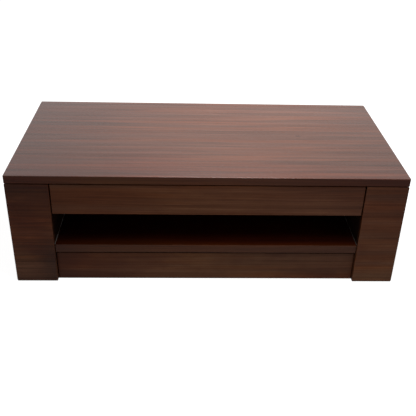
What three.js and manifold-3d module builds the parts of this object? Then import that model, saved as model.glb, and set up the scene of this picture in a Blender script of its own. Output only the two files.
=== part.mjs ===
// A lift-top coffee table: two hollow slab legs, a storage box under the top, an open shelf
// bay and a plinth between them, and a board top on a pair of sprung parallel-link lifts.
// Millimetres, +Z up, the front faces -Y, and the origin is on the floor under the centre.

import * as THREE from "three";
import { mergeVertices } from "three/addons/utils/BufferGeometryUtils.js";
import Module from "manifold-3d";

const wasm = await Module();
wasm.setup();

// ---------------------------------------------------------------- overall sizes
const WIDTH = 1200;
const DEPTH = 600;
const HEIGHT = 375;
const LEG_WIDTH = 128;

// ---------------------------------------------------------------- boards
const TOP_THICK = 25;
const SHELF_THICK = 28;
const SKIN_THICK = 18; // leg skins, apron, plinth, rear panel and shelf bearer
const CAP_THICK = 18; // boards that close the legs above and below
const BOX_FLOOR_THICK = 15;
const TOP_EASE = 1.5; // rounded arris of the top
const EASE = 0.8; // eased arris of every other board that shows

// ---------------------------------------------------------------- fits
const FIT = 0.3; // glue line or seat between two pieces that touch
const REVEAL = 3; // shadow line at each end of the apron and rear panel
const PLINTH_REVEAL = 1.5; // shadow line at each end of the plinth
const PLATE_GAP = 0.5; // between a plate and the pin head that passes beside it
const PIN_CLEARANCE = 0.4; // radial, between a pin and the plates on it

// ---------------------------------------------------------------- heights
const GLIDE_HEIGHT = 2;
const TOP_GAP = 3; // from the legs to the underside of the top, filled by the bumpers
const APRON_DROP = 1.5; // from the top of the legs down to the apron
const APRON_HEIGHT = 100;
const BAY_HEIGHT = 111; // clear height of the open shelf bay

// ---------------------------------------------------------------- setbacks from the leg faces
const APRON_SETBACK = 4;
const REAR_SETBACK = 4;
const SHELF_SETBACK = 6;
const PLINTH_SETBACK = 15;
const GROOVE_DEPTH = 5; // shadow groove along the plinth, under the shelf's edge
const GROOVE_HEIGHT = 8;

// ---------------------------------------------------------------- feet and bumpers
const GLIDE_RADIUS = 12.5;
const GLIDE_FROM_END = 50; // centre of a glide from the leg's front or rear face
const BUMPER_RADIUS = 5;
const BUMPER_FROM_END = 70;

// ---------------------------------------------------------------- lift linkage, side view
const LINK_LENGTH = 225; // pivot to pivot, the same on both arms
const LINK_CLOSED = 3; // degrees above level, pointing to the rear, with the top down
const LINK_SWEEP = 105; // degrees from closed to fully raised
const REAR_PIVOT_RISE = 22; // rear base pivot above the underside of the base rail
const FRONT_PIVOT_DROP = 26.5; // front top pivot below the upper side of the top rail
const PIVOT_SPACING = 110; // front pivots ahead of the rear pivots
const POST_FROM_APRON = 38; // spring post behind the inner face of the apron

// ---------------------------------------------------------------- lift linkage, steel
const WALL_TO_ARM = 6; // from the side of the storage box to the front arm
const ARM_THICK = 4;
const ARM_HALF = 12.5;
const RAIL_THICK = 2.5;
const RAIL_LOBE = 15; // rail metal round each pivot
const POST_LOBE = 12; // rail metal round the spring post
const RAIL_TOE = 3; // corner radius of a rail's web where it meets its flange
const FLANGE_REACH = 34; // width of a rail's flange
const BASE_RAIL_TAIL = 185; // base rail flange behind the rear pivot
const TOP_RAIL_LEAD = 85; // top rail flange ahead of its front pivot
const TOP_RAIL_TAIL = 55; // top rail flange behind its rear pivot
const RAIL_LIP = 22; // web along its flange, past the pivots
const SLOT_HALF = 2.4;
const SLOT_LENGTH = 6;
const SLOT_FROM_END = 16;
const WINDOW_HALF = 5; // lightening slot between two pivots of a rail
const RIB_HALF = 4.5;
const RIB_RISE = 1;
const RIB_FROM_BAR = 25; // from the cross bar to the pressed rib of an arm
const RIB_FROM_TIP = 32;

// ---------------------------------------------------------------- lift linkage, pins
const PIN_RADIUS = 4;
const PIN_HEAD_RADIUS = 7;
const PIN_HEAD = 2;
const PIN_CROWN_RADIUS = 4.5; // flat crown of a head, inside its sloping shoulder
const PIN_RIM = 0.8; // upright rim of a head
const STOP_RADIUS = 4;

// ---------------------------------------------------------------- cross bar and springs
const BAR_RADIUS = 8;
const BAR_WALL = 1.5;
const BAR_FROM_PIVOT = 75; // along the rear arm
const SPRING_CRANK = 30; // from the rear pivot to the stud that the spring pulls
const SPRING_STRETCH = 173.8; // post to stud with the top down
const SPRING_MEAN_RADIUS = 7.5;
const SPRING_WIRE = 1.5;
const SPRING_TURNS = 22;
const SPRING_LEAD = 14; // from the middle of a post to the first turn
const SPRING_FROM_ARM = 3.5; // from the rear arm to the nearest turn
const POST_NECK = 2.6; // groove that the spring's hook lies in
const POST_RADIUS = 4.5;
const POST_FLANGE = 2;
const HOOK_OPENING = 75; // degrees either side of a hook's mouth

// ---------------------------------------------------------------- facets
const FACET_ANGLE = 22.5; // degrees of a plate's arc on one facet
const ROUND_SIDES = 14;
const WIRE_SIDES = 5;
const STEPS_PER_TURN = 7;
const TOP_EASE_STEPS = 3;
const HOOK_STEPS = 7;
const DRILL_PAST = 1; // a cutter's reach beyond the faces it opens

// ---------------------------------------------------------------- derived levels and planes
const topUnderside = HEIGHT - TOP_THICK;
const legTop = topUnderside - TOP_GAP;
const legBottom = GLIDE_HEIGHT + FIT; // every board that comes down to the floor stops here
const apronTop = legTop - APRON_DROP;
const apronBottom = apronTop - APRON_HEIGHT;
const boxFloorTop = apronBottom + BOX_FLOOR_THICK;
const shelfTop = apronBottom - BAY_HEIGHT;
const shelfBottom = shelfTop - SHELF_THICK;
const legInner = WIDTH / 2 - LEG_WIDTH; // inner face of a leg, from the middle
const legFront = -DEPTH / 2;
const legRear = DEPTH / 2;
const apronBack = legFront + APRON_SETBACK + SKIN_THICK;
const plinthBack = legFront + PLINTH_SETBACK + SKIN_THICK;
const rearPanelFace = legRear - REAR_SETBACK - SKIN_THICK;

// ---------------------------------------------------------------- finishes
const walnut = new THREE.MeshStandardMaterial({ color: 0x5b341f, roughness: 0.35, metalness: 0 });
const walnutTop = new THREE.MeshStandardMaterial({ color: 0x5d3722, roughness: 0.28, metalness: 0 });
const blackSteel = new THREE.MeshStandardMaterial({ color: 0x1c1c1e, roughness: 0.45, metalness: 0.6 });
const zincSteel = new THREE.MeshStandardMaterial({ color: 0xb4b6b8, roughness: 0.35, metalness: 0.9 });
const springSteel = new THREE.MeshStandardMaterial({ color: 0x8c8f92, roughness: 0.3, metalness: 0.9 });
const rubber = new THREE.MeshStandardMaterial({ color: 0x2a2a2a, roughness: 0.8, metalness: 0 });
const plastic = new THREE.MeshStandardMaterial({ color: 0x3a2b22, roughness: 0.6, metalness: 0 });

// ---------------------------------------------------------------- shape tools

const radians = (degrees) => (degrees * Math.PI) / 180;
const degrees = (angle) => (angle * 180) / Math.PI;

/** A point at a distance and an angle in degrees from another, in the side view (y, z). */
function polar([y, z], distance, angle) {
  return [y + distance * Math.cos(radians(angle)), z + distance * Math.sin(radians(angle))];
}

/** A mesh's geometry as a manifold solid. */
function solidOf(geometry) {
  const bare = geometry.clone();
  bare.deleteAttribute("normal");
  bare.deleteAttribute("uv");
  const merged = mergeVertices(bare, 1e-3);
  return new wasm.Manifold(
    new wasm.Mesh({
      numProp: 3,
      vertProperties: merged.attributes.position.array,
      triVerts: new Uint32Array(merged.index.array),
    }),
  );
}

/** A manifold solid as a geometry. */
function geometryOf(solid) {
  const mesh = solid.getMesh();
  return new THREE.BufferGeometry()
    .setAttribute("position", new THREE.BufferAttribute(mesh.vertProperties, 3))
    .setIndex(new THREE.BufferAttribute(mesh.triVerts, 1));
}

/** Several overlapping geometries joined into one closed body. */
function join(...geometries) {
  return geometryOf(geometries.map(solidOf).reduce((all, next) => all.add(next)));
}

/** A geometry with others cut away from it. */
function cut(geometry, ...tools) {
  return geometryOf(tools.map(solidOf).reduce((left, tool) => left.subtract(tool), solidOf(geometry)));
}

/** A named mesh of a geometry and a finish. */
function piece(name, geometry, finish) {
  const mesh = new THREE.Mesh(geometry, finish);
  mesh.name = name;
  return mesh;
}

/** A plain block between two corners. */
function block([x0, x1], [y0, y1], [z0, z1]) {
  return new THREE.BoxGeometry(x1 - x0, y1 - y0, z1 - z0).translate(
    (x0 + x1) / 2,
    (y0 + y1) / 2,
    (z0 + z1) / 2,
  );
}

/** A board between two corners, extruded along its thickness: eased arrises, rounder corners. */
function board(x, y, z, ease = EASE, easeSteps = 1) {
  const spans = [x, y, z].map(([low, high]) => high - low);
  const middle = [x, y, z].map(([low, high]) => (low + high) / 2);
  const thin = spans.indexOf(Math.min(...spans));
  const across = (thin + 1) % 3;
  const along = (thin + 2) % 3;
  const round = 2 * ease;
  const [halfWidth, halfLength] = [spans[across] / 2 - round, spans[along] / 2 - round];
  const corners = [
    [halfWidth, halfLength],
    [-halfWidth, halfLength],
    [-halfWidth, -halfLength],
    [halfWidth, -halfLength],
  ];
  const outline = new THREE.Shape(
    corners.flatMap((corner, i) => arc([...corner, round], 90 * i, 90 * (i + 1), easeSteps)),
  );
  const geometry = new THREE.ExtrudeGeometry(outline, {
    depth: spans[thin] - 2 * ease,
    bevelThickness: ease,
    bevelSize: ease,
    bevelOffset: -ease,
    bevelSegments: easeSteps,
  }).translate(0, 0, ease - spans[thin] / 2);
  const axes = [new THREE.Vector3(1, 0, 0), new THREE.Vector3(0, 1, 0), new THREE.Vector3(0, 0, 1)];
  const turn = new THREE.Matrix4().makeBasis(axes[across], axes[along], axes[thin]);
  return geometry.applyMatrix4(turn).translate(...middle);
}

/** Points on an arc of a circle [x, y, radius], both ends included. */
function arc([x, y, radius], from, to, steps = Math.max(1, Math.ceil((to - from) / FACET_ANGLE))) {
  return Array.from({ length: steps + 1 }, (_, i) => {
    const angle = from + ((to - from) * i) / steps;
    return new THREE.Vector2(...polar([x, y], radius, angle));
  });
}

/** The outline round a ring of circles [y, z, radius], taken anticlockwise: arcs joined by tangents. */
function outlineRound(circles) {
  const leaving = circles.map(([y, z, r], i) => {
    const [nextY, nextZ, nextR] = circles[(i + 1) % circles.length];
    const run = Math.hypot(nextY - y, nextZ - z);
    return degrees(Math.atan2(nextZ - z, nextY - y) + Math.asin((r - nextR) / run)) - 90;
  });
  const points = circles.flatMap((circle, i) => {
    const from = leaving[(i + circles.length - 1) % circles.length];
    const sweep = (((leaving[i] - from) % 360) + 360) % 360;
    return arc(circle, from, from + sweep);
  });
  return new THREE.Shape(points);
}

/** A plate whose outline lies in the side view (y, z), from near to far along X. */
function sidePlate(outline, [near, far]) {
  const cyclic = new THREE.Matrix4().makeBasis(
    new THREE.Vector3(0, 1, 0),
    new THREE.Vector3(0, 0, 1),
    new THREE.Vector3(1, 0, 0),
  );
  return new THREE.ExtrudeGeometry(outline, { depth: far - near, bevelEnabled: false })
    .applyMatrix4(cyclic)
    .translate(near, 0, 0);
}

/** A turned piece round an upright axis through x, y. The profile [radius, z] rises. */
function turnedUpright(profile, x, y) {
  return new THREE.LatheGeometry(
    profile.map(([r, z]) => new THREE.Vector2(r, z)),
    ROUND_SIDES,
  )
    .rotateX(Math.PI / 2)
    .translate(x, y, 0);
}

/** A turned piece along X through a point of the side view. The profile [radius, x] goes to +X. */
function turnedAcross(profile, [y, z]) {
  return new THREE.LatheGeometry(
    profile.map(([r, x]) => new THREE.Vector2(r, x)),
    ROUND_SIDES,
  )
    .rotateZ(-Math.PI / 2)
    .translate(0, y, z);
}

/** A rod along X, from near to far. */
function rod(centre, radius, [near, far]) {
  return turnedAcross(
    [
      [0, near],
      [radius, near],
      [radius, far],
      [0, far],
    ],
    centre,
  );
}

/** The rod that drills a hole through a plate of a layer. */
function drill(centre, radius, [near, far]) {
  return rod(centre, radius, [near - DRILL_PAST, far + DRILL_PAST]);
}

// ---------------------------------------------------------------- legs

/** One hollow slab leg: four skins round a void, closed above and below. side is -1 or 1. */
function leg(side, label) {
  const span = (near, far) => [side * near, side * far].sort((a, b) => a - b);
  const outer = WIDTH / 2;
  const fullWidth = span(legInner, outer);
  const height = [legBottom, legTop];
  const between = [legFront + SKIN_THICK + FIT, legRear - SKIN_THICK - FIT];
  const capWidth = span(legInner + SKIN_THICK + FIT, outer - SKIN_THICK - FIT);
  return [
    piece(`${label}_leg_front`, board(fullWidth, [legFront, legFront + SKIN_THICK], height), walnut),
    piece(`${label}_leg_rear`, board(fullWidth, [legRear - SKIN_THICK, legRear], height), walnut),
    piece(`${label}_leg_outer`, board(span(outer - SKIN_THICK, outer), between, height), walnut),
    piece(`${label}_leg_inner`, board(span(legInner, legInner + SKIN_THICK), between, height), walnut),
    piece(`${label}_leg_top_cap`, block(capWidth, between, [legTop - CAP_THICK, legTop]), walnut),
    piece(
      `${label}_leg_bottom_cap`,
      block(capWidth, between, [legBottom, legBottom + CAP_THICK]),
      walnut,
    ),
  ];
}

/** The glides under a leg and the bumpers on it, at its front and rear. */
function legFittings(side, label) {
  const x = side * (WIDTH / 2 - LEG_WIDTH / 2);
  const glide = [
    [0, 0],
    [GLIDE_RADIUS - GLIDE_HEIGHT / 2, 0],
    [GLIDE_RADIUS, GLIDE_HEIGHT / 2],
    [GLIDE_RADIUS, GLIDE_HEIGHT],
    [0, GLIDE_HEIGHT],
  ];
  const bumperFoot = legTop + FIT / 2;
  const bumper = [
    [0, bumperFoot],
    [BUMPER_RADIUS, bumperFoot],
    [BUMPER_RADIUS, bumperFoot + TOP_GAP / 2],
    [BUMPER_RADIUS / 2, topUnderside - FIT],
    [0, topUnderside - FIT],
  ];
  return [
    ["front", -1],
    ["rear", 1],
  ].flatMap(([end, towards]) => {
    const glideY = towards * (DEPTH / 2 - GLIDE_FROM_END);
    const bumperY = towards * (DEPTH / 2 - BUMPER_FROM_END);
    return [
      piece(`${label}_${end}_glide`, turnedUpright(glide, x, glideY), plastic),
      piece(`${label}_${end}_bumper`, turnedUpright(bumper, x, bumperY), rubber),
    ];
  });
}

// ---------------------------------------------------------------- boards between the legs

/** The storage box, the shelf and the plinth, which tie the two legs together. */
function middle() {
  const butted = [-legInner + FIT, legInner - FIT];
  const revealed = [-legInner + REVEAL, legInner - REVEAL];
  const plinthX = [-legInner + PLINTH_REVEAL, legInner - PLINTH_REVEAL];
  const underShelf = [legBottom, shelfBottom - FIT];
  const apronY = [legFront + APRON_SETBACK, apronBack];
  const rearY = [rearPanelFace, legRear - REAR_SETBACK];
  const plinthY = [legFront + PLINTH_SETBACK, plinthBack];
  const shelfY = [legFront + SHELF_SETBACK, rearPanelFace - FIT];
  const groove = block(
    [-legInner, legInner],
    [plinthY[0] - DRILL_PAST, plinthY[0] + GROOVE_DEPTH],
    [underShelf[1] - GROOVE_HEIGHT, underShelf[1] + DRILL_PAST],
  );
  return [
    piece("front_apron", board(revealed, apronY, [apronBottom, apronTop]), walnut),
    piece("rear_panel", board(revealed, rearY, [legBottom, apronTop]), walnut),
    piece(
      "box_floor",
      block(butted, [apronBack + FIT, rearPanelFace - FIT], [apronBottom, boxFloorTop]),
      walnut,
    ),
    piece("shelf", board(butted, shelfY, [shelfBottom, shelfTop]), walnut),
    piece("front_plinth", cut(board(plinthX, plinthY, underShelf), groove), walnut),
    piece(
      "shelf_bearer",
      block([-SKIN_THICK / 2, SKIN_THICK / 2], [plinthBack + FIT, rearPanelFace - FIT], underShelf),
      walnut,
    ),
  ];
}

/** The lifting top: one board, flush with the outer faces of the legs. */
function top() {
  return piece(
    "lift_top",
    board(
      [-WIDTH / 2, WIDTH / 2],
      [-DEPTH / 2, DEPTH / 2],
      [topUnderside, HEIGHT],
      TOP_EASE,
      TOP_EASE_STEPS,
    ),
    walnutTop,
  );
}

// ---------------------------------------------------------------- lift linkage: points

// The stud swings evenly about the upright through its pivot, so that the spring lies level,
// on the same line, with the top down and with the top fully raised.
const studClosed = 90 - LINK_SWEEP / 2;
const studRaised = 90 + LINK_SWEEP / 2;
const postY = apronBack + POST_FROM_APRON;
const railSeat = boxFloorTop + FIT; // underside of the base rails
const topRailFace = topUnderside - FIT; // upper side of the top rails
const crankSpan = polar([0, 0], SPRING_CRANK, studClosed);
const rearBase = [postY + SPRING_STRETCH - crankSpan[0], railSeat + REAR_PIVOT_RISE];
const rearTop = polar(rearBase, LINK_LENGTH, LINK_CLOSED);
const frontTop = [rearTop[0] - PIVOT_SPACING, topRailFace - FRONT_PIVOT_DROP];
const frontBase = polar(frontTop, -LINK_LENGTH, LINK_CLOSED);
const springStud = polar(rearBase, SPRING_CRANK, studClosed);
const springPost = [postY, springStud[1]];
const stopTurn = degrees(Math.asin((ARM_HALF + STOP_RADIUS + FIT) / SPRING_CRANK));
const stopCentre = polar(rearBase, SPRING_CRANK, studRaised + stopTurn);
const barCentre = polar(rearBase, BAR_FROM_PIVOT, LINK_CLOSED);

// ---------------------------------------------------------------- lift linkage: layers
// Each layer is [near, far] from the side of the storage box towards its middle. A collar on
// each pin keeps an arm off the rails, clear of the heads of the pins that it swings past.
const collarSpace = FIT + PIN_HEAD + PLATE_GAP;
const frontArmLayer = [WALL_TO_ARM, WALL_TO_ARM + ARM_THICK];
const webNear = frontArmLayer[1] + collarSpace;
const webLayer = [webNear, webNear + RAIL_THICK];
const rearArmNear = webLayer[1] + collarSpace;
const rearArmLayer = [rearArmNear, rearArmNear + ARM_THICK];
const springLine = rearArmLayer[1] + SPRING_FROM_ARM + SPRING_MEAN_RADIUS + SPRING_WIRE;

// ---------------------------------------------------------------- lift linkage: pieces
// The left-hand set is drawn from the left side of the box; the right-hand set mirrors it.

/** A flat arm with a running hole at each pivot and a pressed rib on one face, -1 near or 1 far. */
function arm(base, tip, layer, ribFace, ...heel) {
  const [near, far] = layer;
  const plate = sidePlate(outlineRound([[...base, ARM_HALF], [...tip, ARM_HALF]]), layer);
  const ribFrom = polar(base, BAR_FROM_PIVOT + RIB_FROM_BAR, LINK_CLOSED);
  const ribTo = polar(base, LINK_LENGTH - RIB_FROM_TIP, LINK_CLOSED);
  const ribOutline = outlineRound([[...ribFrom, RIB_HALF], [...ribTo, RIB_HALF]]);
  const core = (near + far) / 2;
  const ribLayer = ribFace > 0 ? [core, far + RIB_RISE] : [near - RIB_RISE, core];
  return cut(
    join(plate, sidePlate(ribOutline, ribLayer), ...heel),
    drill(base, PIN_RADIUS + PIN_CLEARANCE, layer),
    drill(tip, PIN_RADIUS + PIN_CLEARANCE, layer),
  );
}

/** The rear arm: its heel holds the spring stud, ahead of the arm when the top is raised. */
function rearArm() {
  const heel = sidePlate(
    outlineRound([[...rearBase, ARM_HALF], [...springStud, ARM_HALF]]),
    rearArmLayer,
  );
  return cut(
    arm(rearBase, rearTop, rearArmLayer, 1, heel),
    drill(springStud, POST_NECK + FIT, rearArmLayer),
  );
}

/** A rail's flange: a strip with a slotted screw hole at each end and one in its middle. */
function flange([y0, y1], [z0, z1]) {
  const [x0, x1] = [webLayer[0], webLayer[0] + FLANGE_REACH];
  const outline = new THREE.Shape([
    new THREE.Vector2(x0, y0),
    new THREE.Vector2(x1, y0),
    new THREE.Vector2(x1, y1),
    new THREE.Vector2(x0, y1),
  ]);
  const slotX = (webLayer[1] + x1) / 2;
  for (const y of [y0 + SLOT_FROM_END, (y0 + y1) / 2, y1 - SLOT_FROM_END]) {
    const ends = [
      [slotX, y + SLOT_LENGTH / 2, SLOT_HALF],
      [slotX, y - SLOT_LENGTH / 2, SLOT_HALF],
    ];
    outline.holes.push(new THREE.Path(outlineRound(ends).getPoints()));
  }
  return new THREE.ExtrudeGeometry(outline, { depth: z1 - z0, bevelEnabled: false }).translate(0, 0, z0);
}

/** The cutter of a lightening slot in a rail's web, halfway between two points. */
function windowCutter(a, b) {
  const reach = Math.hypot(a[0] - b[0], a[1] - b[1]) / 2 - RAIL_LOBE;
  const lean = degrees(Math.atan2(a[1] - b[1], a[0] - b[0]));
  const middle = [(a[0] + b[0]) / 2, (a[1] + b[1]) / 2];
  const ends = [
    [...polar(middle, -reach, lean), WINDOW_HALF],
    [...polar(middle, reach, lean), WINDOW_HALF],
  ];
  return sidePlate(outlineRound(ends), [webLayer[0] - DRILL_PAST, webLayer[1] + DRILL_PAST]);
}

/** The base rail: an angle on the box floor with both base pivots and the stop for the rear arm. */
function baseRail() {
  const toeZ = railSeat + RAIL_TOE;
  const web = outlineRound([
    [springPost[0], toeZ, RAIL_TOE],
    [rearBase[0] + RAIL_LOBE + RAIL_LIP, toeZ, RAIL_TOE],
    [...rearBase, RAIL_LOBE],
    [...frontBase, RAIL_LOBE],
    [...springPost, POST_LOBE],
  ]);
  const foot = flange(
    [springPost[0] - RAIL_LOBE, rearBase[0] + BASE_RAIL_TAIL],
    [railSeat, railSeat + RAIL_THICK],
  );
  const stop = rod(stopCentre, STOP_RADIUS, [webLayer[0] + RAIL_THICK / 2, rearArmLayer[1]]);
  return cut(
    join(sidePlate(web, webLayer), foot, stop),
    drill(rearBase, PIN_RADIUS + FIT, webLayer),
    drill(frontBase, PIN_RADIUS + FIT, webLayer),
    drill(springPost, POST_NECK + FIT, webLayer),
    windowCutter(stopCentre, frontBase),
  );
}

/** The top rail: an angle screwed up into the lifting top, with both top pivots. */
function topRail() {
  const toeZ = topRailFace - RAIL_TOE;
  const web = outlineRound([
    [frontTop[0] - RAIL_LIP, toeZ, RAIL_TOE],
    [...frontTop, RAIL_LOBE],
    [...rearTop, RAIL_LOBE],
    [rearTop[0] + RAIL_LIP, toeZ, RAIL_TOE],
  ]);
  const head = flange(
    [frontTop[0] - TOP_RAIL_LEAD, rearTop[0] + TOP_RAIL_TAIL],
    [topRailFace - RAIL_THICK, topRailFace],
  );
  return cut(
    join(sidePlate(web, webLayer), head),
    drill(frontTop, PIN_RADIUS + FIT, webLayer),
    drill(rearTop, PIN_RADIUS + FIT, webLayer),
    windowCutter(rearTop, frontTop),
  );
}

/** A headed rivet through a rail's web and an arm, with a collar between the two. */
function pivotPin(centre, [nearPlate, farPlate]) {
  return turnedAcross(
    [
      [0, nearPlate[0] - FIT - PIN_HEAD],
      [PIN_CROWN_RADIUS, nearPlate[0] - FIT - PIN_HEAD],
      [PIN_HEAD_RADIUS, nearPlate[0] - FIT - PIN_RIM],
      [PIN_HEAD_RADIUS, nearPlate[0] - FIT],
      [PIN_RADIUS, nearPlate[0] - FIT],
      [PIN_RADIUS, nearPlate[1] + FIT],
      [PIN_HEAD_RADIUS, nearPlate[1] + FIT],
      [PIN_HEAD_RADIUS, farPlate[0] - FIT],
      [PIN_RADIUS, farPlate[0] - FIT],
      [PIN_RADIUS, farPlate[1] + FIT],
      [PIN_HEAD_RADIUS, farPlate[1] + FIT],
      [PIN_HEAD_RADIUS, farPlate[1] + FIT + PIN_RIM],
      [PIN_CROWN_RADIUS, farPlate[1] + FIT + PIN_HEAD],
      [0, farPlate[1] + FIT + PIN_HEAD],
    ],
    centre,
  );
}

/** A post for a spring's hook: a root in its plate, a shoulder, a grooved neck and an end flange. */
function post(centre, plate) {
  const groove = [springLine - SPRING_WIRE - 2 * FIT, springLine + SPRING_WIRE + 2 * FIT];
  return turnedAcross(
    [
      [0, plate[0]],
      [POST_NECK, plate[0]],
      [POST_NECK, plate[1] + FIT],
      [POST_RADIUS, plate[1] + FIT],
      [POST_RADIUS, groove[0]],
      [POST_NECK, groove[0]],
      [POST_NECK, groove[1]],
      [POST_RADIUS, groove[1]],
      [POST_RADIUS, groove[1] + POST_FLANGE],
      [0, groove[1] + POST_FLANGE],
    ],
    centre,
  );
}

/** A smooth curve that is swept from point to point, so that its tight bends keep their steps. */
class WirePath extends THREE.CatmullRomCurve3 {
  getPointAt(u, target) {
    return this.getPoint(u, target);
  }

  getTangentAt(u, target) {
    return this.getTangent(u, target);
  }
}

/** The wire's centre line: a hook over each post and an even helix between them. */
function springPath() {
  const hookRadius = POST_NECK + FIT + SPRING_WIRE;
  const hook = ([y, z], facing) =>
    arc([0, 0, hookRadius], -HOOK_OPENING, -360 + HOOK_OPENING, HOOK_STEPS).map(
      (point) => new THREE.Vector3(springLine, y + facing * point.x, z + point.y),
    );
  const coilLength = SPRING_STRETCH - 2 * SPRING_LEAD;
  const steps = Math.round(SPRING_TURNS * STEPS_PER_TURN);
  const coil = Array.from({ length: steps + 1 }, (_, i) => {
    const turn = (2 * Math.PI * SPRING_TURNS * i) / steps;
    return new THREE.Vector3(
      springLine + SPRING_MEAN_RADIUS * Math.sin(turn),
      springPost[0] + SPRING_LEAD + (coilLength * i) / steps,
      springPost[1] + SPRING_MEAN_RADIUS * Math.cos(turn),
    );
  });
  return [...hook(springPost, 1), ...coil, ...hook(springStud, -1).reverse()];
}

/** The tension spring, stretched as it is with the top down. */
function spring() {
  const path = springPath();
  const section = arc([0, 0, SPRING_WIRE], 0, 360 - 360 / WIRE_SIDES, WIRE_SIDES - 1);
  return new THREE.ExtrudeGeometry(new THREE.Shape(section), {
    extrudePath: new WirePath(path),
    steps: path.length - 1,
  });
}

/** One lift. It is drawn from the side of the box inwards, and the right-hand one is mirrored. */
function lift(side, label) {
  const frontLayers = [frontArmLayer, webLayer];
  const rearLayers = [webLayer, rearArmLayer];
  const set = new THREE.Group();
  set.add(
    piece(`${label}_base_rail`, baseRail(), blackSteel),
    piece(`${label}_top_rail`, topRail(), blackSteel),
    piece(`${label}_front_arm`, arm(frontBase, frontTop, frontArmLayer, -1), blackSteel),
    piece(`${label}_rear_arm`, rearArm(), blackSteel),
    piece(`${label}_front_base_pin`, pivotPin(frontBase, frontLayers), zincSteel),
    piece(`${label}_rear_base_pin`, pivotPin(rearBase, rearLayers), zincSteel),
    piece(`${label}_front_top_pin`, pivotPin(frontTop, frontLayers), zincSteel),
    piece(`${label}_rear_top_pin`, pivotPin(rearTop, rearLayers), zincSteel),
    piece(`${label}_spring_post`, post(springPost, webLayer), zincSteel),
    piece(`${label}_spring_stud`, post(springStud, rearArmLayer), zincSteel),
    piece(`${label}_spring`, spring(), springSteel),
  );
  set.position.x = side * legInner;
  set.scale.x = -side;
  return set;
}

/** The tube that makes both rear arms swing together. */
function crossBar() {
  const half = legInner - rearArmLayer[1] - FIT;
  const bore = BAR_RADIUS - BAR_WALL;
  return piece(
    "cross_bar",
    turnedAcross(
      [
        [bore, -half],
        [BAR_RADIUS, -half],
        [BAR_RADIUS, half],
        [bore, half],
        [bore, -half],
      ],
      barCentre,
    ),
    blackSteel,
  );
}

// ---------------------------------------------------------------- assembly

const table = new THREE.Group();
table.name = "lift_top_coffee_table";
for (const [side, label] of [
  [-1, "left"],
  [1, "right"],
]) {
  table.add(...leg(side, label), ...legFittings(side, label), lift(side, label));
}
table.add(...middle(), crossBar(), top());

export default table;
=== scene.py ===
"""Looks for the lift top coffee table: walnut veneer on every board, black lift fittings, bright pins
and springs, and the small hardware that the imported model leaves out.

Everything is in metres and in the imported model's own frame: +Z up, the front faces -Y, and the floor
is z = 0.
"""

import logging
import math
import random
from collections.abc import Sequence
from dataclasses import dataclass, replace
from enum import Enum

import bmesh
import bpy
from mathutils import Matrix, Vector

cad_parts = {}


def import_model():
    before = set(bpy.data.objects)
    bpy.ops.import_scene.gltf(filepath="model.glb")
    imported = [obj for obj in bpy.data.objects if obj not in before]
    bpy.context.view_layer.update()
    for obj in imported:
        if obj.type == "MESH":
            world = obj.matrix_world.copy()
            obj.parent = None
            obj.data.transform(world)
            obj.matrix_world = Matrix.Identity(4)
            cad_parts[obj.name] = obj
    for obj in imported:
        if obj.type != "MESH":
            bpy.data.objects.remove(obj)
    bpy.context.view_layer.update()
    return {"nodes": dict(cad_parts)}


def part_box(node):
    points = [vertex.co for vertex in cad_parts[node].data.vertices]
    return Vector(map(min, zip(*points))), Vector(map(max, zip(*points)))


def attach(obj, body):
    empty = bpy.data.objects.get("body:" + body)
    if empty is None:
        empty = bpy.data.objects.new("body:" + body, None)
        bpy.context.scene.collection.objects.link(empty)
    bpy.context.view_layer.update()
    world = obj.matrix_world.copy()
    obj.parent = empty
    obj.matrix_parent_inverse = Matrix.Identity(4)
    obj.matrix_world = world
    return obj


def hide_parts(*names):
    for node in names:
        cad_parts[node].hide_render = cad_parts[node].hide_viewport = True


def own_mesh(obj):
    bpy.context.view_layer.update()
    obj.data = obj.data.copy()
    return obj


Colour = tuple[float, float, float]
Point = tuple[float, float, float]
Pair = tuple[float, float]
Socket = bpy.types.NodeSocket

LOG = logging.getLogger("coffee_table")
MM = 0.001
TOUCHING = 1e-7  # how close two points of a mesh are that count as one
GRAIN_REACH = 9.0  # how far apart two boards may be cut from the same flitch
# Which cut of the flitch each board gets.
CUTS = {"any": 6, "lift_top": 24, "front_apron": 14, "front_plinth": 24, "shelf": 17,
        "left_leg_front": 53, "right_leg_front": 14, "edge_band": 66}
PLAIN: Colour = (1.0, 1.0, 1.0)  # a tone that changes nothing
WIDE = 9.0  # a reach that leaves an axis out, because it goes far past the table
UP, DOWN, FRONT = (0.0, 0.0, 1.0), (0.0, 0.0, -1.0), (0.0, -1.0, 0.0)


class Body(Enum):
    """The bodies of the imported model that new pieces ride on."""

    CARCASS = "carcass"
    REAR_ARMS = "rear_arms"
    RAISED_TOP = "raised_top"


class Slot(Enum):
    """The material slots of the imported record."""

    TOP = "walnut_top"
    BLACK_STEEL = "black_steel"
    ZINC = "zinc_steel"
    SPRING = "spring_steel"
    PLASTIC = "brown_plastic"


class Side(Enum):
    """One end of the table: the value is the sign of its X."""

    LEFT = -1
    RIGHT = 1

    @property
    def label(self) -> str:
        """The first word of the names of this side's pieces."""
        return self.name.lower()


class Grain(Enum):
    """The direction that a board's grain runs in: the value turns it on to X, in degrees about Z."""

    LENGTH = 0.0
    DEPTH = -90.0


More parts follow.
